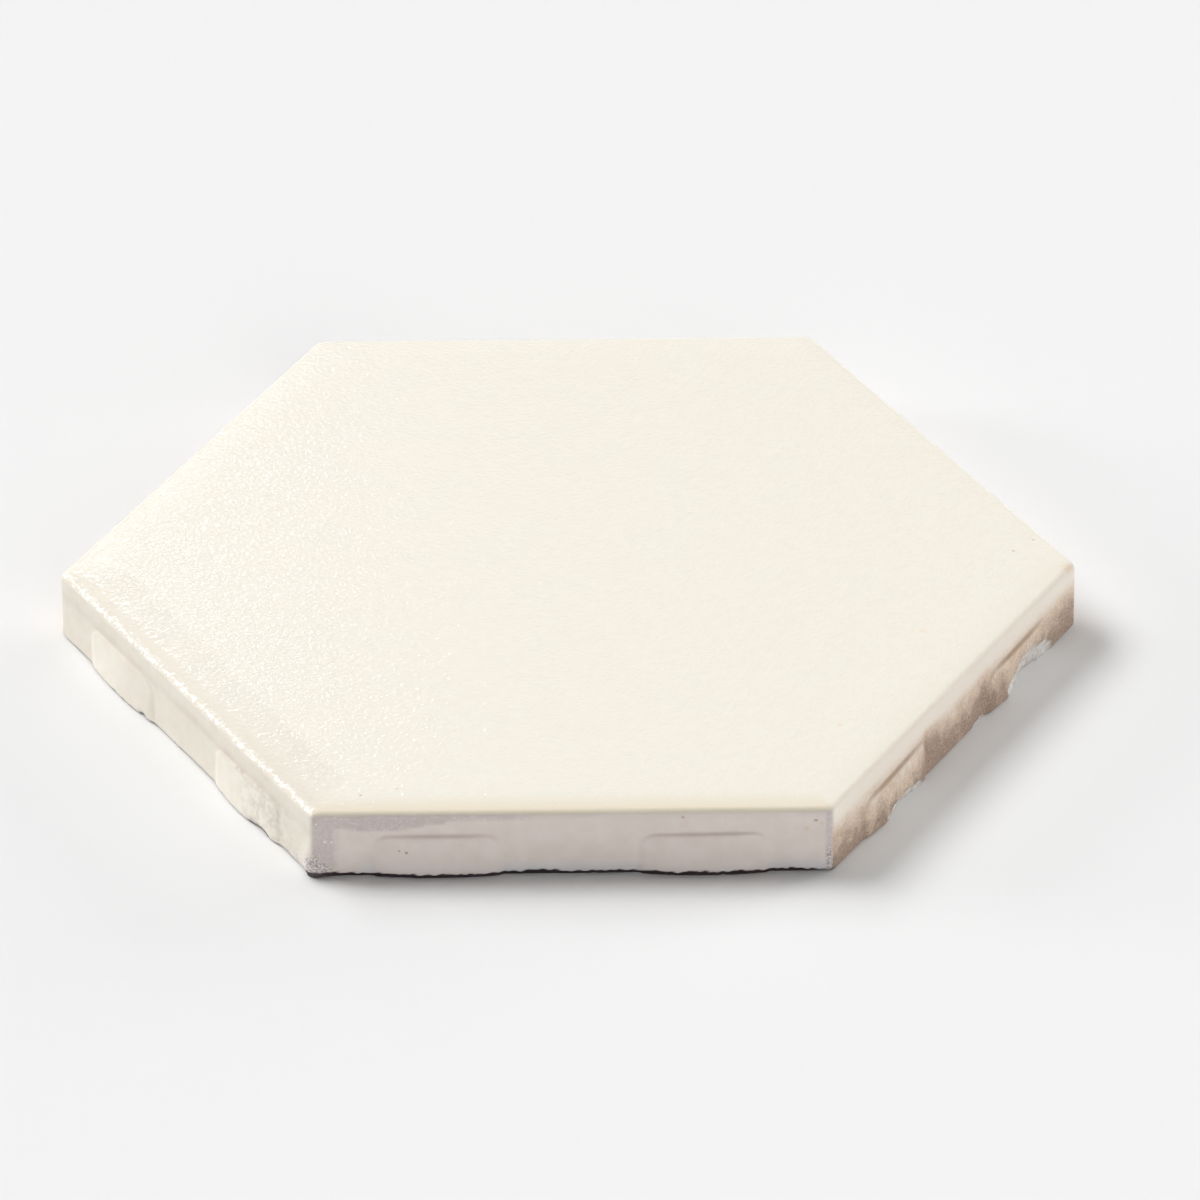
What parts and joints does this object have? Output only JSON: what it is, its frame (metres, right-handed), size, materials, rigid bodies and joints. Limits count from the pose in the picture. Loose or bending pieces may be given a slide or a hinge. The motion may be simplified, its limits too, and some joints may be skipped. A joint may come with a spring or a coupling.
{
  "type": "hexagon floor tile",
  "caption": "Glazed hexagonal floor tile with spacer lugs low on its sides, a softly rounded face edge and a keyed back.",
  "frame": {"origin": "middle of the back, on the level that the tile lies on", "axes": "+Z out of the glazed face, +X towards a corner, with two of the sides along X"},
  "size_m": [0.117, 0.1032, 0.0087],
  "materials": {
    "glazed_body": "satin cream glaze over a pale fired body"
  },
  "bodies": {
    "root": {"hexagon_tile": "glazed_body"}
  },
  "joints": []
}
